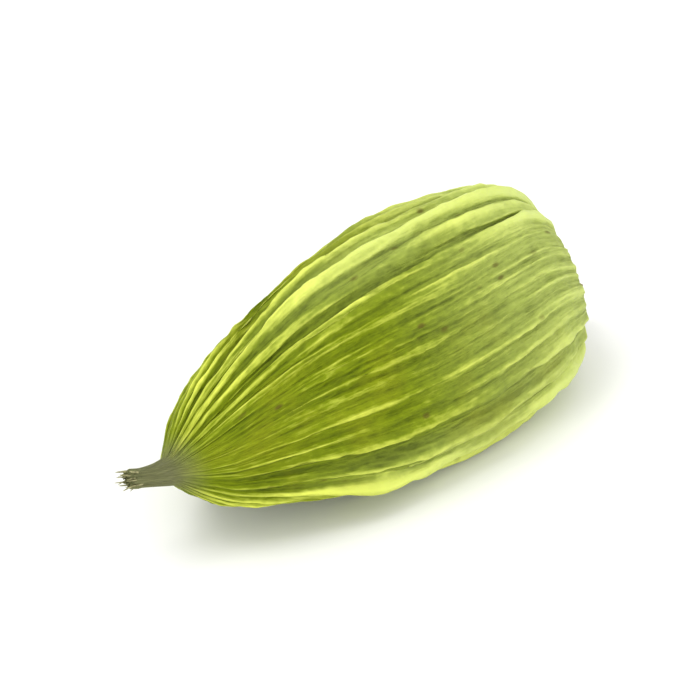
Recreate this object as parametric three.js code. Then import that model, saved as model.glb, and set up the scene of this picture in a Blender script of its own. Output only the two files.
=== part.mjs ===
// A green cardamom pod: one dried three-sided fruit with a stalk stub and a short tip, lying on a face.
// Millimetres, +Z up. +X runs along the pod, from the broken stalk end to the tip of the fruit.

import * as THREE from "three";

// Driving dimensions: lengths along the pod
const STALK_LENGTH = 1.3; // from the broken end of the stalk to where the husk begins
const HUSK_LENGTH = 14.8;
const TIP_LENGTH = 0.7; // the withered end of the flower, past the husk
const POD_LENGTH = STALK_LENGTH + HUSK_LENGTH + TIP_LENGTH;

// Husk outline, turned about the pod's axis
const HUSK_RADIUS = 3.08; // mean radius at the widest place, without the ribs
const WIDEST_AT = 0.61; // share of the husk's length, from the stalk
const STALK_SIDE_ROOT = 1.45; // low, so the husk is drawn out towards the stalk
const TIP_SIDE_ROOT = 2.3; // high, so it is blunt towards the tip

// Stalk stub and tip: each is thinnest at its free end and widens into the husk
const STALK = { endRadius: 0.27, widening: 0.45, widensOver: 2.4, rounding: 0.1 };
const TIP = { endRadius: 0.36, widening: 0.9, widensOver: 1.6, rounding: 0.15 };
const STALK_LEAN_Y = 0.5; // how far the broken end stands off the pod's axis
const STALK_LEAN_Z = 0.28;
const STALK_LEANS_OVER = 2.6;
const TIP_LEAN_Y = -0.2; // the same at the other end: the tip droops
const TIP_LEAN_Z = -1.2;
const TIP_LEANS_OVER = 3.2;
const NECK_BLEND = 2.2; // how tightly the husk closes round the stalk and the tip

// Three-sided section, with one corner on top and a face underneath
const CORNERS = 3;
const TOP_CORNER = Math.PI / 2;
const CORNER_LIFT = 0.105; // share of the radius that a corner stands out and a face lies in
const OVAL = 0.02; // share of the radius by which the section is wider one way than across it
const OVAL_TURN = THREE.MathUtils.degToRad(25);
const TWIST = THREE.MathUtils.degToRad(7); // how far the corners wind round along the pod
const SIDE_BEND = 0.25; // the axis bows sideways by this at the middle

// Ribs that run from the stalk to the tip: one on each corner and several on each face
const RIBS_PER_FACE = 10;
const RIB_COUNT = CORNERS * (RIBS_PER_FACE + 1);
const CORNER_RIB_HEIGHT = 0.32;
const EDGE_RIB_HEIGHT = 0.3; // on a face, as it comes up to a corner
const MIDDLE_RIB_HEIGHT = 0.09; // in the middle of a face
const BAND_FURROW_DEPTH = 0.12; // sets a corner's rib and the ribs beside it off from the faces
const RIB_HEIGHT_SPREAD = 0.3; // share by which a rib is higher or lower than its neighbours
const RIB_WANDER = 0.22; // share of the spacing by which a rib stands off its even place
const RIB_FADE = 0.8; // how fast the ribs get lower as the husk narrows
const RIB_SWELL = 0.3; // share by which a rib rises and sinks along its length
const RIB_SWELLS = 2; // how often it does so
const RIB_SWAY = 0.035; // radians by which the ribs lean to and fro along the husk
const RIB_SWAYS = 1.5;
const RIB_SEED = 11;
const RANDOM_FACTOR = 16807;
const RANDOM_MODULUS = 2147483647;

// Flat spot underneath, where the pod rests
const REST_FLAT_DEPTH = 0.2;

// Facets
const SAMPLES_PER_RIB = 4; // crest, flank, furrow, flank
const HUSK_STATIONS = 32;

// Finish
const HUSK_GREEN = 0x9fae3c;
const HUSK_ROUGHNESS = 0.6;

// Seeded random numbers from 0 to 1, so that every build gives the same ribs.
function seededRandom(seed) {
  let state = seed;
  return () => {
    state = (state * RANDOM_FACTOR) % RANDOM_MODULUS;
    return state / RANDOM_MODULUS;
  };
}

// Each rib in order round the section: its crest angle, its height, where its swells begin and how deep the
// furrow after it is.
function makeRibs() {
  const random = seededRandom(RIB_SEED);
  const spacing = (2 * Math.PI) / RIB_COUNT;
  return Array.from({ length: RIB_COUNT }, (_, rib) => {
    const place = rib % (RIBS_PER_FACE + 1);
    const wander = place === 0 ? 0 : (2 * random() - 1) * RIB_WANDER;
    const spread = 1 + (2 * random() - 1) * RIB_HEIGHT_SPREAD;
    const phase = 2 * Math.PI * random();
    const fromMiddle = Math.abs((2 * place) / (RIBS_PER_FACE + 1) - 1);
    const onFace = THREE.MathUtils.lerp(MIDDLE_RIB_HEIGHT, EDGE_RIB_HEIGHT, fromMiddle ** 2);
    const height = place === 0 ? CORNER_RIB_HEIGHT : onFace * spread;
    const endsBand = place === 1 || place === RIBS_PER_FACE - 1;
    const furrowDepth = endsBand ? BAND_FURROW_DEPTH : 0;
    return { angle: TOP_CORNER + (rib + wander) * spacing, height, phase, furrowDepth };
  });
}

// The angles at which the section is drawn, with the rib's height at each: crest, flank, furrow, flank.
function makeRing(ribs) {
  const ring = ribs.flatMap((rib, index) => {
    const last = index === ribs.length - 1;
    const next = last ? { ...ribs[0], angle: ribs[0].angle + 2 * Math.PI } : ribs[index + 1];
    const furrow = (rib.angle + next.angle) / 2;
    return [
      { angle: rib.angle, rise: rib.height, phase: rib.phase },
      { angle: (rib.angle + furrow) / 2, rise: rib.height / 2, phase: rib.phase },
      { angle: furrow, rise: -rib.furrowDepth, phase: rib.phase },
      { angle: (furrow + next.angle) / 2, rise: next.height / 2, phase: next.phase },
    ];
  });
  return [...ring, ring[0]];
}

// Mean radius of the husk at a share of its length, nothing outside it.
function huskRadius(share) {
  if (share <= 0 || share >= 1) return 0;
  const onStalkSide = share < WIDEST_AT;
  const away = (share - WIDEST_AT) / (onStalkSide ? WIDEST_AT : 1 - WIDEST_AT);
  return HUSK_RADIUS * (1 - away ** 2) ** (1 / (onStalkSide ? STALK_SIDE_ROOT : TIP_SIDE_ROOT));
}

// Radius of the stalk or the tip at a distance from its rounded free end. It fades out inside the husk.
function stubRadius(stub, fromEnd) {
  const inRound = Math.max(0, 1 - fromEnd / stub.rounding);
  const widened = stub.widening * Math.min(1, fromEnd / stub.widensOver) ** 2;
  const faded = THREE.MathUtils.smoothstep(fromEnd, stub.widensOver, POD_LENGTH / 2);
  return (stub.endRadius + widened) * (1 - faded) - stub.rounding * (1 - Math.sqrt(1 - inRound ** 2));
}

// Mean radius of the whole pod: the husk closes smoothly round the stalk and the tip.
function podRadius(along) {
  const husk = huskRadius((along - STALK_LENGTH) / HUSK_LENGTH);
  const stub = Math.max(stubRadius(STALK, along), stubRadius(TIP, POD_LENGTH - along));
  return (husk ** NECK_BLEND + stub ** NECK_BLEND) ** (1 / NECK_BLEND);
}

// Distances along the pod at which a ring stands: close together at the two ends of the husk.
function makeStations() {
  const husk = Array.from({ length: HUSK_STATIONS }, (_, step) => {
    const share = (1 - Math.cos((Math.PI * (step + 0.5)) / HUSK_STATIONS)) / 2;
    return STALK_LENGTH + share * HUSK_LENGTH;
  });
  const stalk = [0, STALK.rounding / 2, STALK.rounding, STALK_LENGTH / 2, STALK_LENGTH];
  const tip = [TIP_LENGTH, TIP_LENGTH / 2, TIP.rounding, TIP.rounding / 2, 0];
  return [...stalk, ...husk, ...tip.map((fromEnd) => POD_LENGTH - fromEnd)];
}

// Where the pod's axis runs: bowed sideways, with the stalk and the tip leaning off it at their free ends.
function axisOffset(along) {
  const share = along / POD_LENGTH;
  const bow = SIDE_BEND * 4 * share * (1 - share);
  const stalk = Math.max(0, 1 - along / STALK_LEANS_OVER) ** 2;
  const tip = Math.max(0, 1 - (POD_LENGTH - along) / TIP_LEANS_OVER) ** 2;
  return {
    y: bow + STALK_LEAN_Y * stalk + TIP_LEAN_Y * tip,
    z: STALK_LEAN_Z * stalk + TIP_LEAN_Z * tip,
  };
}

// Share of the mean radius at an angle of the section: three-sided and a little oval where the husk is full.
function sectionShare(angle, fullness) {
  const corners = CORNER_LIFT * Math.cos(CORNERS * (angle - TOP_CORNER));
  const oval = OVAL * Math.cos(2 * (angle - OVAL_TURN));
  return 1 + fullness * (corners + oval);
}

// The pod's surface: a turned outline whose rings take the three-sided section and the ribs.
function makePodGeometry() {
  const stations = makeStations();
  const ring = makeRing(makeRibs());
  const outline = [
    new THREE.Vector2(0, stations[0]),
    ...stations.map((along) => new THREE.Vector2(podRadius(along), along)),
    new THREE.Vector2(0, stations.at(-1)),
  ];
  const geometry = new THREE.LatheGeometry(outline, SAMPLES_PER_RIB * RIB_COUNT);
  const position = geometry.attributes.position;
  ring.forEach(({ angle, rise, phase }, side) => {
    outline.forEach(({ x: radius, y: along }, station) => {
      const share = along / POD_LENGTH;
      const fullness = huskRadius((along - STALK_LENGTH) / HUSK_LENGTH) / HUSK_RADIUS;
      const swell = 1 + RIB_SWELL * Math.sin(2 * Math.PI * RIB_SWELLS * share + phase);
      const reach = radius * sectionShare(angle, fullness) + rise * swell * fullness ** RIB_FADE;
      const sway = RIB_SWAY * fullness * Math.sin(2 * Math.PI * RIB_SWAYS * share + angle);
      const turned = angle + sway + TWIST * (share - 0.5);
      const axis = axisOffset(along);
      const index = side * outline.length + station;
      position.setXYZ(index, along, axis.y + reach * Math.cos(turned), axis.z + reach * Math.sin(turned));
    });
  });
  return geometry;
}

// Presses the underside flat and sets the middle of the pod's box, at the bottom, on the origin.
function setDown(geometry) {
  const position = geometry.attributes.position;
  geometry.computeBoundingBox();
  const restLevel = geometry.boundingBox.min.z + REST_FLAT_DEPTH;
  for (let index = 0; index < position.count; index += 1) {
    position.setZ(index, Math.max(0, position.getZ(index) - restLevel));
  }
  geometry.computeBoundingBox();
  const middle = geometry.boundingBox.getCenter(new THREE.Vector3());
  geometry.translate(-middle.x, -middle.y, 0);
  geometry.computeVertexNormals();
  return geometry;
}

const husk = new THREE.MeshStandardMaterial({ color: HUSK_GREEN, roughness: HUSK_ROUGHNESS, metalness: 0 });
const pod = new THREE.Mesh(setDown(makePodGeometry()), husk);
pod.name = "cardamom_pod";

const part = new THREE.Group();
part.name = "green_cardamom_pod";
part.add(pod);

export default part;
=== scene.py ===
"""Dresses the green cardamom pod for its portrait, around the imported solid.

The husk follows the solid's own formula: an outline turned about the pod's axis, a three-sided section
and ribs that run from the stalk to the tip. What only the eye needs is added to it: fine veins, wrinkles, a
torn stalk end, a withered tip and the finish of a dried husk. The classes hold lengths in millimetres and
angles in radians.
"""

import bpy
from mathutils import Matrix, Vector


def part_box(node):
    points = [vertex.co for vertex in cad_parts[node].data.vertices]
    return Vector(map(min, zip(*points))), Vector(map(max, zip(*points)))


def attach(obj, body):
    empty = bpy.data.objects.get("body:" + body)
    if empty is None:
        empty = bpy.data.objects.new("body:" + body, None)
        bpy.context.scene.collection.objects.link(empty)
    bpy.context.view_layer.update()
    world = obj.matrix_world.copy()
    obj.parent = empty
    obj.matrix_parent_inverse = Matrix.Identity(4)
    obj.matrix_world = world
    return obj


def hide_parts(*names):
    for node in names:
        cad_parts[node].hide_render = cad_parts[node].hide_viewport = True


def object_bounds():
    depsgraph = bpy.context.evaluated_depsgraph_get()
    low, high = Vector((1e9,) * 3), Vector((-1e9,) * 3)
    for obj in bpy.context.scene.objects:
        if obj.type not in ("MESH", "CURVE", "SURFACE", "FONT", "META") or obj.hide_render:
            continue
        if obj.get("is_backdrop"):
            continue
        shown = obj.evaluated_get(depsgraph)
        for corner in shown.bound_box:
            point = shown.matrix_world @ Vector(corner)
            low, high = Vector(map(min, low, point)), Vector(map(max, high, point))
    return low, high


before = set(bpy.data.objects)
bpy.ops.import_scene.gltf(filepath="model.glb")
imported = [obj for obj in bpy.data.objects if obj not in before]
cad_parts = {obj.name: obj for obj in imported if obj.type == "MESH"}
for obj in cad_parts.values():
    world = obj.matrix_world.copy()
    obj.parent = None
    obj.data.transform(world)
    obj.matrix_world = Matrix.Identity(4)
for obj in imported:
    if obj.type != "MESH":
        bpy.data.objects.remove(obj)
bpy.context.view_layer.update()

import logging
import math
from dataclasses import dataclass, field
from enum import Enum
from typing import Any

import bmesh
import bpy
import numpy as np
from mathutils import Vector, noise

MM = 0.001
FULL_TURN = 2 * math.pi

log = logging.getLogger("cardamom_pod")


class Label(Enum):
    """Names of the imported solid, of the body that it rides on and of its finish in the record."""

    NODE = "cardamom_pod"
    BODY = "root"
    SLOT = "husk"


class End(Enum):
    """The pod's two free ends, each with its sign along the axis."""

    STALK = -1
    TIP = 1


class Layer(Enum):
    """Values that the husk's mesh carries, for its finish to read."""

    # rib: the ribs' own paler colour, with painted highlight on the crests and painted shade in the furrows
    RIB = "rib"  # 0 in a furrow, 1 on a high crest
    WOODY = "woody"  # 0 on the green husk, 1 on the stalk stub and the tip
    PALE = "pale"  # 0 where the husk kept its green, 1 where it is paler: painted light on the corners, and towards the far end
    GRAIN = "grain"  # the place on the husk as if it were a straight tube, in millimetres


def linear(hex_colour: str) -> tuple[float, float, float, float]:
    """Turns an sRGB hex colour into linear light.

    Args:
        hex_colour: six hex digits after a hash sign.

    Returns:
        Red, green, blue and an alpha of 1.
    """
    shares = [int(hex_colour[start:start + 2], 16) / 255 for start in (1, 3, 5)]
    light = [share / 12.92 if share <= 0.04045 else ((share + 0.055) / 1.055) ** 2.4 for share in shares]
    return (*light, 1.0)


def add_node(
    tree: bpy.types.NodeTree, kind: str, inputs: dict[str | int, Any], **settings: Any
) -> bpy.types.Node:
    """Adds a shader node with its settings, values and links.

    Args:
        tree: the material's or the world's node tree.
        kind: the node's type name.
        inputs: for each input socket, a value or the output socket that feeds it.
        settings: the node's own properties.

    Returns:
        The new node.
    """
    node = tree.nodes.new(kind)
    for name, value in settings.items():
        setattr(node, name, value)
    for socket, value in inputs.items():
        if isinstance(value, bpy.types.NodeSocket):
            tree.links.new(value, node.inputs[socket])
        else:
            node.inputs[socket].default_value = value
    return node


def smooth_step(low: float, high: float, values: np.ndarray) -> np.ndarray:
    """Rises smoothly from 0 at low to 1 at high, also where low is the larger."""
    share = np.clip((values - low) / (high - low), 0, 1)
    return share * share * (3 - 2 * share)


def unit_tube(rings: int, sides: int) -> bmesh.types.BMesh:
    """Makes a closed tube of radius 1 about X, with a pole at x = 0 and another at x = 1.

    Args:
        rings: places along the tube, the two poles among them.
        sides: faces round the tube.

    Returns:
        The tube's bmesh, faces outwards.
    """
    tube = bmesh.new()
    line = tube.edges.new([tube.verts.new((x, 1.0, 0.0)) for x in (0.0, 1.0)])
    bmesh.ops.subdivide_edges(tube, edges=[line], cuts=rings - 2)
    bmesh.ops.spin(
        tube,
        geom=tube.verts[:] + tube.edges[:],
        cent=(0, 0, 0),
        axis=(1, 0, 0),
        angle=FULL_TURN,
        steps=sides,
        use_merge=True,
    )
    half_gap = 0.5 / (rings - 1)
    for pole in (0.0, 1.0):
        ring = [vert for vert in tube.verts if abs(vert.co.x - pole) < half_gap]
        bmesh.ops.pointmerge(tube, verts=ring, merge_co=(pole, 0, 0))
    bmesh.ops.recalc_face_normals(tube, faces=tube.faces[:])
    return tube


def new_piece(name: str, shape: bmesh.types.BMesh) -> bpy.types.Object:
    """Turns a bmesh into a smooth-shaded object at the origin and frees the bmesh."""
    mesh = bpy.data.meshes.new(name)
    shape.to_mesh(mesh)
    shape.free()
    mesh.shade_smooth()
    piece = bpy.data.objects.new(name, mesh)
    bpy.context.scene.collection.objects.link(piece)
    return piece


@dataclass(frozen=True)
class Swell:
    """Smooth noise over the husk, the same on every run."""

    height: float  # in millimetres, or a share of what it changes
    cell: tuple[float, float, float]  # the size of one swell: along the fibres, then across them both ways
    octaves: int  # how many finer layers the noise has
    shift: float  # moves the pattern, so that two layers differ

    def at(self, places: np.ndarray) -> np.ndarray:
        """Gives the noise at points in millimetres, mostly between its height above and below nothing."""
        scaled = places / np.array(self.cell) + self.shift
        drawn = [noise.fractal(Vector(place), 1.0, 2.0, self.octaves) for place in scaled]
        return self.height * np.array(drawn)


@dataclass
class SeededDraws:
    """Random numbers from 0 to 1 in the order that the solid draws them."""

    state: int
    factor: int = 16807
    modulus: int = 2147483647

    def draw(self) -> float:
        """Gives the next number."""
        self.state = self.state * self.factor % self.modulus
        return self.state / self.modulus

    def between(self, low: float, high: float) -> float:
        """Gives the next number, scaled to lie from low to high."""
        return low + (high - low) * self.draw()


@dataclass
class RibSet:
    """Ribs round the section, in order, with the furrow that follows each."""

    angles: np.ndarray
    heights: np.ndarray
    phases: np.ndarray
    furrow_depths: np.ndarray
    swell: float  # share by which a rib rises and sinks along its length
    swell_count: float
    sharpness: float  # 1 is a tent, more is a narrow crest over a hollow flank
    crest_round: float = 0.2  # share of the half-width that the crest is rounded over

    def rise(self, angle: np.ndarray, share: np.ndarray) -> tuple[np.ndarray, np.ndarray]:
        """Gives the ribs' relief on a full husk.

        Args:
            angle: angles round the section.
            share: shares of the pod's length.

        Returns:
            The height over the bare section, and how near each place is to its rib's crest, from 0 to 1.
        """
        first = self.angles[0]
        offset = (angle - first) % FULL_TURN
        index = np.searchsorted(self.angles - first, offset, side="right") - 1
        stops = np.append(self.angles - first, FULL_TURN)
        passed = (offset - stops[index]) / (stops[index + 1] - stops[index])
        nearer = np.where(passed < 0.5, index, (index + 1) % len(self.angles))
        away = np.hypot(2 * np.minimum(passed, 1 - passed), self.crest_round) - self.crest_round
        furthest = math.hypot(1, self.crest_round) - self.crest_round
        crest = (1 - np.minimum(1, away / furthest)) ** self.sharpness
        swell = 1 + self.swell * np.sin(FULL_TURN * self.swell_count * share + self.phases[nearer])
        bottom = -self.furrow_depths[index]
        return bottom + (self.heights[nearer] * swell - bottom) * crest, crest


@dataclass(frozen=True)
class Stub:
    """The stalk or the tip: thinnest at its rounded free end, and wider into the husk."""

    end_radius: float
    widening: float
    widens_over: float
    rounding: float

    def radius(self, from_end: np.ndarray, fades_at: float) -> np.ndarray:
        """Gives the radius at distances from the free end. It is nothing from where it fades on."""
        in_round = np.maximum(0, 1 - from_end / self.rounding)
        widened = self.widening * np.minimum(1, from_end / self.widens_over) ** 2
        kept = 1 - smooth_step(self.widens_over, fades_at, from_end)
        return (self.end_radius + widened) * kept - self.rounding * (1 - np.sqrt(1 - in_round**2))


@dataclass
class PodForm:
    """The pod's shape, by the solid's own formulas of the place along it and the angle round it."""

    length: float
    stalk_length: float = 1.3
    tip_length: float = 0.7
    husk_radius: float = 3.08
    widest_at: float = 0.61
    stalk_side_root: float = 1.45
    tip_side_root: float = 2.3
    stalk: Stub = Stub(end_radius=0.27, widening=0.45, widens_over=2.4, rounding=0.1)
    tip: Stub = Stub(end_radius=0.36, widening=0.9, widens_over=1.6, rounding=0.15)
    stalk_lean: tuple[float, float] = (0.5, 0.28)  # sideways and upwards, at the broken end
    stalk_leans_over: float = 2.6
    tip_lean: tuple[float, float] = (-0.2, -1.2)  # sideways and upwards, at the end of the tip
    tip_leans_over: float = 3.2
    neck_blend: float = 2.2
    corners: int = 3
    top_corner: float = math.pi / 2
    corner_lift: float = 0.105
    oval: float = 0.02
    oval_turn: float = math.radians(25)
    twist: float = math.radians(7)
    side_bend: float = 0.25
    ribs_per_face: int = 10
    corner_rib_height: float = 0.32
    edge_rib_height: float = 0.3
    middle_rib_height: float = 0.09
    band_furrow_depth: float = 0.12
    rib_height_spread: float = 0.3
    rib_wander: float = 0.22
    rib_fade: float = 0.8
    rib_swell: float = 0.3
    rib_swells: float = 2
    rib_sway: float = 0.035
    rib_sways: float = 1.5
    rib_seed: int = 11
    rib_sharpness: float = 2.0

    @property
    def husk_length(self) -> float:
        """Length of the husk alone."""
        return self.length - self.stalk_length - self.tip_length

    def ribs(self) -> RibSet:
        """Draws the ribs, with the solid's seed and in its order."""
        draws = SeededDraws(self.rib_seed)
        count = self.corners * (self.ribs_per_face + 1)
        rows = []
        for rib in range(count):
            place = rib % (self.ribs_per_face + 1)
            wander = draws.between(-self.rib_wander, self.rib_wander) if place else 0.0
            spread = draws.between(1 - self.rib_height_spread, 1 + self.rib_height_spread)
            phase = FULL_TURN * draws.draw()
            from_middle = abs(2 * place / (self.ribs_per_face + 1) - 1)
            climb = self.edge_rib_height - self.middle_rib_height
            on_face = (self.middle_rib_height + climb * from_middle**2) * spread
            ends_band = place in (1, self.ribs_per_face - 1)
            rows.append((
                self.top_corner + (rib + wander) * FULL_TURN / count,
                on_face if place else self.corner_rib_height,
                phase,
                self.band_furrow_depth if ends_band else 0.0,
            ))
        return RibSet(*np.array(rows).T, self.rib_swell, self.rib_swells, self.rib_sharpness)

    def fullness(self, along: np.ndarray) -> np.ndarray:
        """Gives the husk's share of its widest radius, nothing on the stalk and the tip."""
        share = np.clip((along - self.stalk_length) / self.husk_length, 0, 1)
        on_stalk_side = share < self.widest_at
        away = (share - self.widest_at) / np.where(on_stalk_side, self.widest_at, 1 - self.widest_at)
        root = np.where(on_stalk_side, self.stalk_side_root, self.tip_side_root)
        return np.maximum(0, 1 - away**2) ** (1 / root)

    def mean_radius(self, along: np.ndarray) -> np.ndarray:
        """Gives the pod's mean radius: the husk closes smoothly round the stalk and the tip."""
        husk = self.husk_radius * self.fullness(along)
        middle = self.length / 2
        stub = np.maximum(self.stalk.radius(along, middle), self.tip.radius(self.length - along, middle))
        return (husk**self.neck_blend + stub**self.neck_blend) ** (1 / self.neck_blend)

    def section_share(self, angle: np.ndarray, fullness: np.ndarray) -> np.ndarray:
        """Gives the share of the mean radius at an angle: three-sided and a little oval."""
        corners = self.corner_lift * np.cos(self.corners * (angle - self.top_corner))
        oval = self.oval * np.cos(2 * (angle - self.oval_turn))
        return 1 + fullness * (corners + oval)

    def turned(self, angle: np.ndarray, share: np.ndarray, fullness: np.ndarray) -> np.ndarray:
        """Gives the angle that a rib has turned to at a share of the pod's length."""
        sway = self.rib_sway * fullness * np.sin(FULL_TURN * self.rib_sways * share + angle)
        return angle + sway + self.twist * (share - 0.5)

    def axis(self, along: np.ndarray) -> tuple[np.ndarray, np.ndarray]:
        """Gives how far the pod's axis stands off a straight line, sideways and upwards."""
        share = along / self.length
        stalk = np.maximum(0, 1 - along / self.stalk_leans_over) ** 2
        tip = np.maximum(0, 1 - (self.length - along) / self.tip_leans_over) ** 2
        bow = self.side_bend * 4 * share * (1 - share)
        sideways = bow + self.stalk_lean[0] * stalk + self.tip_lean[0] * tip
        return sideways, self.stalk_lean[1] * stalk + self.tip_lean[1] * tip

    def heading(self, along: float) -> Vector:
        """Gives the direction in which the pod's axis runs at a place, towards the tip."""
        sideways, upwards = self.axis(np.array([along - 0.1, along + 0.1]))
        return Vector((0.2, sideways[1] - sideways[0], upwards[1] - upwards[0])).normalized()


@dataclass(frozen=True)
class HuskFinish:
    """Dried cardamom husk, shrunk on the seeds: papery, dull green, paler and waxier on its ribs, with
    painted highlight on the crests and painted shade in the furrows.
    """

    # Furrow, flank and crest colours hold painted shade and painted highlight as well as the husk's own
    # colour
    furrow: str = "#4b5902"
    flank: str = "#778706"
    crest: str = "#dfe75c"
    yellowed: str = "#97991b"
    # Paler colour of the corners, painted light, and of the far end
    pale_corner_and_end: str = "#c8d57c"
    woody: str = "#83855a"
    speck: str = "#54431a"
    fibre_width: float = 0.12
    fibre_length: float = 2.6
    patch_size: float = 2.4
    pore_stretch: float = 3.0
    pore_size: float = 0.1  # coarser than the real pores, so that it shows
    speck_spacing: float = 0.45
    speck_stretch: float = 1.8
    relief: float = 0.09
    fibre_contrast: float = 1.35  # how strongly fibres and pores show in the tone, next to the ribs; their low places are painted darker as shade
    pore_contrast: float = 0.6
    tone_range: tuple[float, float] = (0.77, 1.92)  # rib, fibre and pore added up: darkest, palest
    flank_tone: float = 0.42
    furrow_roughness: float = 0.72
    crest_roughness: float = 0.5
    yellow_share: float = 0.5
    furrow_paling: float = 0.3  # share of the paling that a dark furrow takes
    speck_fray: float = 0.12
    speck_edge: tuple[float, float] = (0.27, 0.15)  # from bare skin into a speck, as shares of the spacing
    speckless: float = 0.62  # share of the places that stay without a speck
    speck_cover: float = 0.7
    pore_relief: float = 0.7  # height of a pore next to a fibre

    def material(self) -> bpy.types.Material:
        """Makes the husk's material: pale ribs with painted highlight, deeper green furrows with painted
        shade, corners painted paler as light, a paler far end, grey-green ends and small specks.
        """
        husk = bpy.data.materials.new("dried_cardamom_husk")
        husk.use_nodes = True
        tree = husk.node_tree
        shader = tree.nodes["Principled BSDF"]
        layers = {
            layer: add_node(tree, "ShaderNodeAttribute", {}, attribute_name=layer.value) for layer in Layer
        }
        grain = layers[Layer.GRAIN].outputs["Vector"]
        across = 1 / self.fibre_width
        along_fibre = add_node(
            tree, "ShaderNodeMapping", {"Vector": grain, "Scale": (1 / self.fibre_length, across, across)}
        )
        fibre = add_node(
            tree, "ShaderNodeTexNoise", {"Vector": along_fibre.outputs[0], "Scale": 1.0, "Detail": 3.0}
        ).outputs[0]
        dense = 1 / self.pore_size
        along_pore = add_node(
            tree, "ShaderNodeMapping", {"Vector": grain, "Scale": (dense / self.pore_stretch, dense, dense)}
        )
        pores = add_node(
            tree, "ShaderNodeTexNoise", {"Vector": along_pore.outputs[0], "Scale": 1.0, "Detail": 2.0}
        ).outputs[0]
        # Fibres and pores paint their low places darker as shade, besides the fibres' own streaks
        streaked_and_shaded = add_node(
            tree,
            "ShaderNodeMath",
            {0: fibre, 1: self.fibre_contrast, 2: layers[Layer.RIB].outputs["Fac"]},
            operation="MULTIPLY_ADD",
        )
        mottled_and_shaded = add_node(
            tree,
            "ShaderNodeMath",
            {0: pores, 1: self.pore_contrast, 2: streaked_and_shaded.outputs[0]},
            operation="MULTIPLY_ADD",
        )
        darkest, palest = self.tone_range
        tone = add_node(
            tree,
            "ShaderNodeMapRange",
            {"Value": mottled_and_shaded.outputs[0], "From Min": darkest, "From Max": palest},
        ).outputs[0]
        colour = add_node(
            tree,
            "ShaderNodeMix",
            {
                0: self._specks(tree, grain, fibre),
                6: self._skin(tree, layers, tone),
                7: linear(self.speck),
            },
            data_type="RGBA",
        )
        tree.links.new(colour.outputs[2], shader.inputs["Base Color"])
        tree.links.new(self._relief(tree, fibre, pores), shader.inputs["Normal"])
        # Crests are a little waxy, furrows dull
        gloss = add_node(
            tree,
            "ShaderNodeMapRange",
            {"Value": tone, "To Min": self.furrow_roughness, "To Max": self.crest_roughness},
        )
        tree.links.new(gloss.outputs[0], shader.inputs["Roughness"])
        shader.inputs["IOR"].default_value = 1.45
        shader.inputs["Specular IOR Level"].default_value = 0.14
        shader.inputs["Subsurface Weight"].default_value = 0.08
        shader.inputs["Subsurface Radius"].default_value = (0.8, 1.0, 0.3)
        shader.inputs["Subsurface Scale"].default_value = 0.15 * MM
        return husk

    def _skin(
        self, tree: bpy.types.NodeTree, layers: dict[Layer, bpy.types.Node], tone: bpy.types.NodeSocket
    ) -> bpy.types.NodeSocket:
        """Colours the skin: ribs paler than furrows, partly from drying and partly as painted highlight on
        the crests and painted shade in the furrows; patches yellow; corners painted paler as light; and the
        far end paler.

        Args:
            tree: the material's node tree.
            layers: the nodes that read the mesh's values.
            tone: 0 in a dark furrow to 1 on a pale crest.

        Returns:
            The colour without specks.
        """
        ramp = add_node(tree, "ShaderNodeValToRGB", {0: tone})
        ramp.color_ramp.elements[0].color = linear(self.furrow)
        ramp.color_ramp.elements[1].color = linear(self.crest)
        ramp.color_ramp.elements.new(self.flank_tone).color = linear(self.flank)
        patch = add_node(
            tree,
            "ShaderNodeTexNoise",
            {"Vector": layers[Layer.GRAIN].outputs["Vector"], "Scale": 1 / self.patch_size, "Detail": 4.0},
        )
        yellowing = add_node(
            tree,
            "ShaderNodeMapRange",
            {"Value": patch.outputs[0], "From Min": 0.5, "From Max": 0.8, "To Max": self.yellow_share},
        )
        # Paleness of the corners, painted light, and of the far end, less in the furrows
        lightness = add_node(
            tree, "ShaderNodeMapRange", {"Value": tone, "To Min": self.furrow_paling, "To Max": 1.0}
        )
        paling_share = add_node(
            tree,
            "ShaderNodeMath",
            {0: layers[Layer.PALE].outputs["Fac"], 1: lightness.outputs[0]},
            operation="MULTIPLY",
        )
        colour = ramp.outputs[0]
        for share, over in (
            (yellowing.outputs[0], self.yellowed),
            (paling_share.outputs[0], self.pale_corner_and_end),
            (layers[Layer.WOODY].outputs["Fac"], self.woody),
        ):
            mix = add_node(tree, "ShaderNodeMix", {0: share, 6: colour, 7: linear(over)}, data_type="RGBA")
            colour = mix.outputs[2]
        return colour

    def _specks(
        self, tree: bpy.types.NodeTree, grain: bpy.types.NodeSocket, fibre: bpy.types.NodeSocket
    ) -> bpy.types.NodeSocket:
        """Scatters small ragged specks, longer along the fibres and of differing strength.

        Args:
            tree: the material's node tree.
            grain: the place on the husk, laid out straight.
            fibre: the fibres' noise, which frays the specks.

        Returns:
            How far a place is covered by a speck.
        """
        close = 1 / self.speck_spacing
        along_speck = add_node(
            tree, "ShaderNodeMapping", {"Vector": grain, "Scale": (close / self.speck_stretch, close, close)}
        )
        cells = add_node(
            tree, "ShaderNodeTexVoronoi", {"Vector": along_speck.outputs[0], "Scale": 1.0, "Randomness": 1.0}
        )
        ragged = add_node(
            tree,
            "ShaderNodeMath",
            {0: fibre, 1: self.speck_fray, 2: cells.outputs["Distance"]},
            operation="MULTIPLY_ADD",
        )
        bare, solid = self.speck_edge
        inside = add_node(
            tree, "ShaderNodeMapRange", {"Value": ragged.outputs[0], "From Min": bare, "From Max": solid}
        )
        chance = add_node(tree, "ShaderNodeSeparateColor", {0: cells.outputs["Color"]})
        strength = add_node(
            tree,
            "ShaderNodeMapRange",
            {
                "Value": chance.outputs[0],
                "From Min": self.speckless,
                "From Max": 1.0,
                "To Max": self.speck_cover,
            },
        )
        covered = add_node(
            tree, "ShaderNodeMath", {0: inside.outputs[0], 1: strength.outputs[0]}, operation="MULTIPLY"
        )
        return covered.outputs[0]

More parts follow.
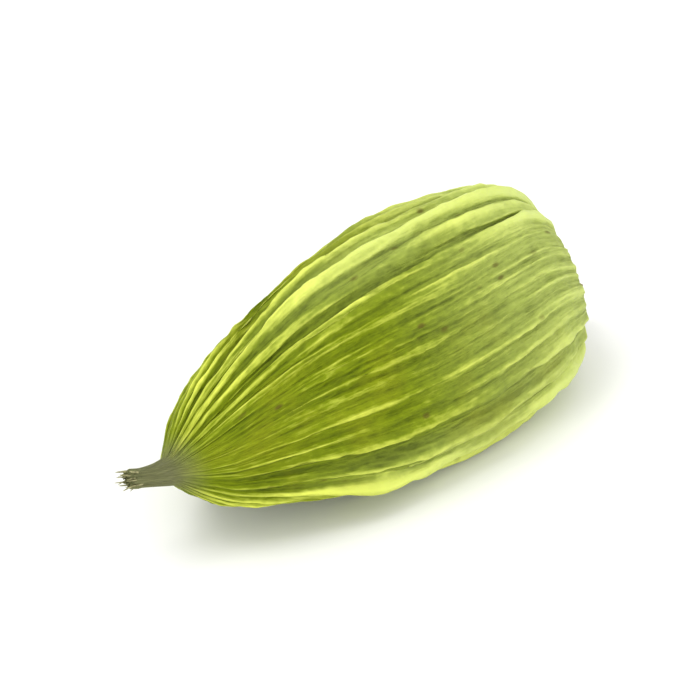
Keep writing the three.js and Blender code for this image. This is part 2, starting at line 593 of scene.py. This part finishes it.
    def _relief(
        self, tree: bpy.types.NodeTree, fibre: bpy.types.NodeSocket, pores: bpy.types.NodeSocket
    ) -> bpy.types.NodeSocket:
        """Roughens the skin with fibres and pores.

        Args:
            tree: the material's node tree.
            fibre: the fibres' noise.
            pores: the pores' noise.

        Returns:
            The roughened normal.
        """
        rough = add_node(
            tree, "ShaderNodeMath", {0: pores, 1: self.pore_relief, 2: fibre}, operation="MULTIPLY_ADD"
        )
        bump = add_node(
            tree,
            "ShaderNodeBump",
            {"Height": rough.outputs[0], "Distance": self.relief * MM, "Strength": 1.0},
        )
        return bump.outputs[0]


@dataclass(frozen=True)
class FibreFinish:
    """Dry plant fibre, torn or withered: dull, streaked from pale to dark, with hardly any green left."""

    name: str
    pale: str
    dark: str
    streak: float = 0.1
    relief: float = 0.02

    def material(self) -> bpy.types.Material:
        """Makes a dull material streaked from dark to pale fibre."""
        fibre = bpy.data.materials.new(self.name)
        fibre.use_nodes = True
        tree = fibre.node_tree
        shader = tree.nodes["Principled BSDF"]
        place = add_node(tree, "ShaderNodeTexCoord", {}).outputs["Object"]
        streaks = add_node(
            tree, "ShaderNodeTexNoise", {"Vector": place, "Scale": 1 / (self.streak * MM), "Detail": 3.0}
        ).outputs[0]
        spread = add_node(
            tree, "ShaderNodeMapRange", {"Value": streaks, "From Min": 0.35, "From Max": 0.65}
        )
        colour = add_node(
            tree,
            "ShaderNodeMix",
            {0: spread.outputs[0], 6: linear(self.dark), 7: linear(self.pale)},
            data_type="RGBA",
        )
        tree.links.new(colour.outputs[2], shader.inputs["Base Color"])
        bump = add_node(
            tree, "ShaderNodeBump", {"Height": streaks, "Distance": self.relief * MM, "Strength": 0.8}
        )
        tree.links.new(bump.outputs[0], shader.inputs["Normal"])
        shader.inputs["Roughness"].default_value = 0.75
        shader.inputs["Specular IOR Level"].default_value = 0.25
        return fibre


@dataclass(frozen=True)
class Strand:
    """One fibre or withered lobe: a closed tapering tube along a few points, given in millimetres."""

    path: list[Vector]
    width: float
    flatness: float
    taper: float

    def shape(self, sides: int) -> bmesh.types.BMesh:
        """Bends a unit tube along the path.

        Args:
            sides: faces round the tube.

        Returns:
            The strand's bmesh, in metres.
        """
        tube = unit_tube(len(self.path), sides)
        last = len(self.path) - 1
        for vert in tube.verts:
            step = round(vert.co.x * last)
            ahead = self.path[min(step + 1, last)] - self.path[max(step - 1, 0)]
            width = self.width * (1 - self.taper * vert.co.x)
            across = Vector((0, vert.co.y * width, vert.co.z * width * self.flatness))
            vert.co = (self.path[step] + ahead.to_track_quat("X", "Z") @ across) * MM
        return tube


def bundle(name: str, strands: list[Strand], sides: int) -> bpy.types.Object:
    """Joins strands in one piece.

    Args:
        name: the piece's name.
        strands: what it is made of.
        sides: faces round each strand.

    Returns:
        The piece.
    """
    whole = bmesh.new()
    single = bpy.data.meshes.new("strand")
    for strand in strands:
        shape = strand.shape(sides)
        shape.to_mesh(single)
        shape.free()
        whole.from_mesh(single)
    bpy.data.meshes.remove(single)
    return new_piece(name, whole)


@dataclass
class Husk:
    """The husk with its stalk stub and tip, as one grown skin."""

    form: PodForm
    finish: HuskFinish = field(default_factory=HuskFinish)
    rings: int = 206
    sides: int = 480
    end_rings: int = 8  # rings on the flat of each free end
    crowding: float = 0.45  # how much closer the rings stand at the two ends than evenly
    pith_hollow: float = 0.14
    torn_over: float = 0.5  # how far from a free end its edge is torn or withered
    vein_count: int = 102
    vein_height: float = 0.075
    vein_wander: float = 0.32  # share of the spacing by which a vein stands off its even place
    vein_swell: float = 0.9
    vein_swells: float = 2.3
    vein_sharpness: float = 1.8
    vein_seed: int = 5
    wrinkle: float = 0.055
    torn_edge: Swell = Swell(height=0.12, cell=(9.0, 1.1, 1.1), octaves=2, shift=8.1)
    withered_edge: Swell = Swell(height=0.12, cell=(9.0, 1.4, 1.4), octaves=2, shift=1.9)
    rib_meander: Swell = Swell(height=0.1, cell=(2.8, 1.8, 1.8), octaves=2, shift=3.7)
    vein_meander: Swell = Swell(height=0.07, cell=(1.9, 1.3, 1.3), octaves=2, shift=12.1)
    rib_change: Swell = Swell(height=0.4, cell=(3.6, 0.9, 0.9), octaves=1, shift=7.3)  # ribs come and go
    dents: Swell = Swell(height=0.11, cell=(3.64, 2.8, 2.8), octaves=2, shift=0.4)
    beads: Swell = Swell(height=0.06, cell=(0.8, 1.0, 1.0), octaves=2, shift=5.3)
    creases: Swell = Swell(height=1.0, cell=(0.55, 1.7, 1.7), octaves=2, shift=6.6)
    creased: Swell = Swell(height=1.0, cell=(3.0, 2.4, 2.4), octaves=1, shift=9.7)  # where creases gather
    striae: Swell = Swell(height=0.034, cell=(2.4, 0.2, 0.2), octaves=2, shift=2.2)
    parchment: Swell = Swell(height=0.022, cell=(0.42, 0.34, 0.34), octaves=2, shift=14.8)
    stub_furrows: Swell = Swell(height=0.04, cell=(2.5, 0.8, 0.8), octaves=2, shift=4.4)
    rib_paleness_and_highlight: float = 0.85
    vein_paleness_and_highlight: float = 0.4
    neck_paleness: float = 0.3
    # The corners' paleness is painted light
    corner_paleness: float = 0.7
    corner_pales: tuple[float, float] = (0.15, 0.6)  # shares of the length over which a corner gets pale
    end_pales: tuple[float, float] = (0.42, 0.92)  # the same for the whole far end
    stalk_greys: tuple[float, float] = (0.7, -0.3)  # from green to woody, past where the husk begins
    tip_greys: tuple[float, float] = (1.1, 0.2)  # the same, from the end of the tip
    shift: np.ndarray = field(default_factory=lambda: np.zeros(3))  # from the form's place into the frame

    def build(self) -> bpy.types.Object:
        """Makes the husk's mesh: a closed tube moved onto the pod's form, then roughened along its normals.

        Returns:
            The husk's object, with the values that its finish reads.
        """
        piece = new_piece("pod_husk", unit_tube(self.rings, self.sides))
        mesh = piece.data
        tube = self._read(mesh.vertices, "co")
        step = tube[:, 0]
        angle = np.arctan2(tube[:, 2], tube[:, 1])
        along, spread = self._stations(step)
        grain = self._grain(along, angle)
        ribs, crest = self._ribs(along, angle, grain)
        veins, vein_crest = self._veins(along, angle, grain)
        mesh.vertices.foreach_set("co", self._form(along, spread, angle, ribs, grain).ravel() * MM)
        mesh.update()
        normals = np.empty(len(mesh.vertices) * 3)
        mesh.vertex_normals.foreach_get("vector", normals)
        relief = self._relief(along, crest, veins, grain)
        places = self._read(mesh.vertices, "co") / MM + normals.reshape(-1, 3) * relief[:, None]
        mesh.vertices.foreach_set("co", self._set_down(places).ravel() * MM)
        self._store(mesh, along, ribs, veins * vein_crest, grain)
        mesh.update()
        return piece

    def dress(self, piece: bpy.types.Object) -> None:
        """Gives the husk its material."""
        piece.data.materials.append(self.finish.material())

    def inside(self, along: float, angle: float, share: float) -> Vector:
        """Gives a point of the built husk at a share of the way from its axis to its skin."""
        at = np.array([along])
        reach = share * self.form.mean_radius(at)[0]
        sideways, upwards = self.form.axis(at)
        return Vector(self.shift) + Vector((
            along,
            sideways[0] + reach * math.cos(angle),
            upwards[0] + reach * math.sin(angle),
        ))

    @staticmethod
    def _read(items: bpy.types.bpy_prop_collection, name: str) -> np.ndarray:
        """Reads a vector from each item into rows of three."""
        values = np.empty(len(items) * 3)
        items.foreach_get(name, values)
        return values.reshape(-1, 3)

    def _stations(self, step: np.ndarray) -> tuple[np.ndarray, np.ndarray]:
        """Finds where the tube's rings stand on the pod.

        Args:
            step: places along the unit tube.

        Returns:
            The place along the pod, and the share of its ring's radius: under 1 on the flat of a free end.
        """
        flat = self.end_rings / (self.rings - 1)
        side = np.clip((step - flat) / (1 - 2 * flat), 0, 1)
        along = self.form.length * (side - self.crowding * np.sin(FULL_TURN * side) / FULL_TURN)
        return along, np.clip(np.minimum(step, 1 - step) / flat, 0, 1)

    def _grain(self, along: np.ndarray, angle: np.ndarray) -> np.ndarray:
        """Lays the husk out as a straight tube, whose X runs along the fibres."""
        radius = self.form.husk_radius
        return np.stack([along, radius * np.cos(angle), radius * np.sin(angle)], axis=1)

    def _ribs(
        self, along: np.ndarray, angle: np.ndarray, grain: np.ndarray
    ) -> tuple[np.ndarray, np.ndarray]:
        """Gives the main ribs' relief and how near each place is to a crest.

        Args:
            along: places along the pod.
            angle: angles round the section.
            grain: the places laid out straight.

        Returns:
            Heights on a full husk, and 0 in a furrow to 1 on a crest.
        """
        meander = self.rib_meander.at(grain) / self.form.husk_radius
        rise, crest = self.form.ribs().rise(angle + meander, along / self.form.length)
        change = 1 + self.rib_change.at(grain)
        return np.where(rise > 0, rise * change, rise), crest

    def _veins(
        self, along: np.ndarray, angle: np.ndarray, grain: np.ndarray
    ) -> tuple[np.ndarray, np.ndarray]:
        """Draws the finer veins between the ribs: a few stand up, most are faint, and they come and go.

        Args:
            along: places along the pod.
            angle: angles round the section.
            grain: the places laid out straight.

        Returns:
            Shares of the vein height, and 0 between veins to 1 on one.
        """
        draws = SeededDraws(self.vein_seed)
        spacing = FULL_TURN / self.vein_count
        rows = []
        for vein in range(self.vein_count):
            place = vein + draws.between(-self.vein_wander, self.vein_wander)
            height = draws.draw() ** 2
            phase = FULL_TURN * draws.draw()
            rows.append((place * spacing, height, phase, 0.0))
        veins = RibSet(*np.array(rows).T, self.vein_swell, self.vein_swells, self.vein_sharpness)
        meander = self.vein_meander.at(grain) / self.form.husk_radius
        return veins.rise(angle + meander, along / self.form.length)

    def _form(
        self, along: np.ndarray, spread: np.ndarray, angle: np.ndarray, ribs: np.ndarray, grain: np.ndarray
    ) -> np.ndarray:
        """Moves the tube onto the pod's form, with its free ends hollowed and torn.

        Args:
            along: places along the pod.
            spread: shares of the ring's radius.
            angle: angles round the section.
            ribs: the ribs' relief on a full husk.
            grain: the places laid out straight.

        Returns:
            Points in millimetres, in the frame's directions.
        """
        form = self.form
        fullness = form.fullness(along)
        share = along / form.length
        reach = form.mean_radius(along) * form.section_share(angle, fullness) * spread
        reach = reach + ribs * fullness**form.rib_fade
        turned = form.turned(angle, share, fullness)
        sideways, upwards = form.axis(along)
        torn = self.torn_edge.at(grain) * smooth_step(self.torn_over, 0.0, along)
        withered = self.withered_edge.at(grain) * smooth_step(self.torn_over, 0.0, form.length - along)
        hollow = self.pith_hollow * (1 - spread**2) * np.where(along < form.length / 2, 1, -1)
        lengthwise = along + hollow + torn + withered
        return np.stack(
            [lengthwise, sideways + reach * np.cos(turned), upwards + reach * np.sin(turned)], axis=1
        )

    def _relief(
        self, along: np.ndarray, crest: np.ndarray, veins: np.ndarray, grain: np.ndarray
    ) -> np.ndarray:
        """Works out the fine relief that shrinking gave the husk.

        Args:
            along: places along the pod.
            crest: how near each place is to a rib's crest.
            veins: shares of the vein height.
            grain: the places laid out straight.

        Returns:
            Heights over the form, in millimetres.
        """
        fullness = self.form.fullness(along)
        beads = crest * self.beads.at(grain)
        creased = smooth_step(-0.25, 0.35, self.creased.at(grain))
        # A crease is a sharp fold where the noise changes sign, lower on a rib's crest
        folds = 2 * (0.3 - np.abs(self.creases.at(grain)))
        wrinkles = self.wrinkle * creased * (1 - 0.7 * crest) * folds
        stub = self.stub_furrows.at(grain) * (1 - smooth_step(0.0, 0.25, fullness))
        husk = self.vein_height * veins + self.dents.at(grain) + beads + wrinkles + self.parchment.at(grain)
        return husk * np.minimum(1, fullness * 1.2) + self.striae.at(grain) * np.sqrt(fullness) + stub

    def _set_down(self, places: np.ndarray) -> np.ndarray:
        """Sets the pod on the solid's box and presses what would lie under the surface flat."""
        lowest, highest = (np.array(corner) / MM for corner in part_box(Label.NODE.value))
        middle = (places[:, 1].min() + places[:, 1].max()) / 2
        self.shift = np.array([
            lowest[0],
            (lowest[1] + highest[1]) / 2 - middle,
            highest[2] - places[:, 2].max(),
        ])
        moved = places + self.shift
        moved[:, 2] = np.maximum(lowest[2], moved[:, 2])
        return moved

    def _store(
        self, mesh: bpy.types.Mesh, along: np.ndarray, ribs: np.ndarray, veins: np.ndarray, grain: np.ndarray
    ) -> None:
        """Stores what the finish reads.

        Args:
            mesh: the husk's mesh.
            along: places along the pod.
            ribs: the ribs' relief on a full husk.
            veins: how strongly a vein shows, from 0 to about 1.
            grain: the places laid out straight.
        """
        form = self.form
        full = np.minimum(1, 2 * form.fullness(along))
        height = np.clip((ribs + 0.04) / form.edge_rib_height, 0, 1)
        stalk = smooth_step(*self.stalk_greys, along - form.stalk_length)
        tip = smooth_step(*self.tip_greys, form.length - along)
        angle = np.arctan2(grain[:, 2], grain[:, 1])
        # Corners painted paler as light, and the far end paler
        corner = (0.5 + 0.5 * np.cos(form.corners * (angle - form.top_corner))) ** 5
        corner = corner * smooth_step(*self.corner_pales, along / form.length)
        far_end = smooth_step(*self.end_pales, along / form.length)
        # Crests and veins painted paler as highlight and furrows darker as shade, besides the ribs' own
        # drier colour
        rib = self.rib_paleness_and_highlight * height**1.4 + self.vein_paleness_and_highlight * np.maximum(0, veins)
        values = {
            Layer.RIB: np.clip(rib, 0, 1) * full + self.neck_paleness * (1 - full),
            Layer.WOODY: np.maximum(stalk, tip),
            Layer.PALE: np.maximum(self.corner_paleness * corner, far_end),
        }
        for layer, shares in values.items():
            mesh.attributes.new(layer.value, "FLOAT", "POINT").data.foreach_set("value", shares)
        laid_out = mesh.attributes.new(Layer.GRAIN.value, "FLOAT_VECTOR", "POINT")
        laid_out.data.foreach_set("vector", grain.ravel())


@dataclass
class Tuft:
    """Torn fibres or withered lobes that stand out of one free end of the pod."""

    husk: Husk
    name: str
    end: End
    finish: FibreFinish
    count: int
    seed: int
    reach: tuple[float, float]  # how far they stand out of the end
    width: float
    flatness: float  # thickness over width
    taper: float  # share of the width that is lost towards the free end
    splay: float  # how far they spread, as a slope
    curl: float  # how far a free end may turn aside
    gather: float  # how far drying drew the free ends together
    root_depth: float = 0.28
    sides: int = 8
    steps: int = 8

    def build(self) -> bpy.types.Object:
        """Makes the strands, rooted round the end's axis and running on along it."""
        draws = SeededDraws(self.seed)
        form = self.husk.form
        along = self.root_depth if self.end is End.STALK else form.length - self.root_depth
        onward = form.heading(along) * self.end.value
        shares = [step / (self.steps - 1) for step in range(self.steps)]
        strands = []
        for index in range(self.count):
            angle = FULL_TURN * (index + draws.between(-0.35, 0.35)) / self.count
            outward = Vector((0, math.cos(angle), math.sin(angle)))
            root = self.husk.inside(along, angle, draws.between(0.5, 0.9))
            run = self.root_depth + draws.between(*self.reach)
            ahead = (onward + outward * draws.between(0, self.splay)) * run
            aside = Vector((0, draws.between(-self.curl, self.curl), draws.between(-self.curl, self.curl)))
            aside -= outward * self.gather
            path = [root + ahead * share + aside * share**2 for share in shares]
            strands.append(Strand(path, self.width * draws.between(0.65, 1.15), self.flatness, self.taper))
        return bundle(self.name, strands, self.sides)

    def dress(self, piece: bpy.types.Object) -> None:
        """Gives the strands their material."""
        piece.data.materials.append(self.finish.material())


@dataclass(frozen=True)
class Lamp:
    """A square lamp that faces the pod."""

    name: str
    place: tuple[float, float, float]
    size: float
    power: float  # in watts

    def build(self) -> None:
        """Hangs the lamp."""
        light = bpy.data.lights.new(self.name, "AREA")
        light.size = self.size * MM
        light.energy = self.power
        holder = bpy.data.objects.new(self.name, light)
        holder.location = Vector(self.place) * MM
        holder.rotation_euler = Vector(self.place).to_track_quat("Z", "Y").to_euler()
        bpy.context.scene.collection.objects.link(holder)


@dataclass
class Studio:
    """A pale floor, soft light from the left and the front, and the photograph's point of view."""

    azimuth: float = math.radians(-47)
    elevation: float = math.radians(33)
    distance: float = 250.0
    frame_width: float = 18.8
    floor_size: float = 3000.0
    sensor: float = 36.0
    room_light: float = 1.12
    key: Lamp = Lamp("key", place=(-115, 35, 225), size=120, power=0.22)
    fill: Lamp = Lamp("fill", place=(-100, -220, 90), size=150, power=0.12)

    def build(self) -> None:
        """Makes the floor, the light and the camera."""
        self._floor()
        self._light()
        self._camera()

    def _floor(self) -> None:
        """Lays a plain matt white floor under the pod."""
        shape = bmesh.new()
        bmesh.ops.create_grid(shape, x_segments=1, y_segments=1, size=self.floor_size * MM / 2)
        floor = new_piece("floor", shape)
        paint = bpy.data.materials.new("matt_white_card")
        paint.use_nodes = True
        shader = paint.node_tree.nodes["Principled BSDF"]
        shader.inputs["Base Color"].default_value = linear("#f2f2f0")
        shader.inputs["Roughness"].default_value = 0.8
        floor.data.materials.append(paint)
        floor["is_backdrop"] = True

    def _light(self) -> None:
        """Lights the pod from above on the left and low from the front, with a white room around."""
        world = bpy.data.worlds.new("white_room")
        world.use_nodes = True
        world.node_tree.nodes["Background"].inputs["Color"].default_value = (1, 1, 1, 1)
        world.node_tree.nodes["Background"].inputs["Strength"].default_value = self.room_light
        bpy.context.scene.world = world
        self.key.build()
        self.fill.build()

    def _camera(self) -> None:
        """Looks at the pod from the photograph's side, through a long lens."""
        level = math.cos(self.elevation)
        back = Vector((
            math.sin(self.azimuth) * level,
            -math.cos(self.azimuth) * level,
            math.sin(self.elevation),
        ))
        low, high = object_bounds()
        lens = bpy.data.cameras.new("camera")
        lens.sensor_width = self.sensor
        lens.lens = self.sensor * self.distance / self.frame_width
        lens.clip_start = 0.01
        camera = bpy.data.objects.new("camera", lens)
        camera.location = (low + high) / 2 + back * self.distance * MM
        camera.rotation_euler = back.to_track_quat("Z", "Y").to_euler()
        bpy.context.scene.collection.objects.link(camera)
        bpy.context.scene.camera = camera
        bpy.context.scene.view_settings.view_transform = "Standard"


def main() -> None:
    """Builds and dresses the pod, then its studio, and logs each piece's face count."""
    logging.basicConfig(level=logging.INFO)
    lowest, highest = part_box(Label.NODE.value)
    husk = Husk(PodForm(length=(highest.x - lowest.x) / MM))
    stalk_fibres = Tuft(
        husk,
        "stalk_fibres",
        End.STALK,
        FibreFinish("torn_stalk_fibre", pale="#a8a578", dark="#6c6846"),
        count=18,
        seed=3,
        reach=(0.08, 0.3),
        width=0.045,
        flatness=1.0,
        taper=0.75,
        splay=0.3,
        curl=0.12,
        gather=0.0,
        sides=5,
    )
    tip_remains = Tuft(
        husk,
        "tip_remains",
        End.TIP,
        FibreFinish("withered_flower", pale="#93884f", dark="#5a4c2a", streak=0.16),
        count=7,
        seed=8,
        reach=(0.05, 0.28),
        width=0.2,
        flatness=0.45,
        taper=0.45,
        splay=0.35,
        curl=0.15,
        gather=0.25,
    )
    for part in (husk, stalk_fibres, tip_remains):
        piece = part.build()
        part.dress(piece)
        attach(piece, Label.BODY.value)
        if part is husk:
            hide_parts(Label.NODE.value)
        log.info("%s: %d faces", piece.name, len(piece.data.polygons))
    Studio().build()


if __name__ == "__main__":
    main()
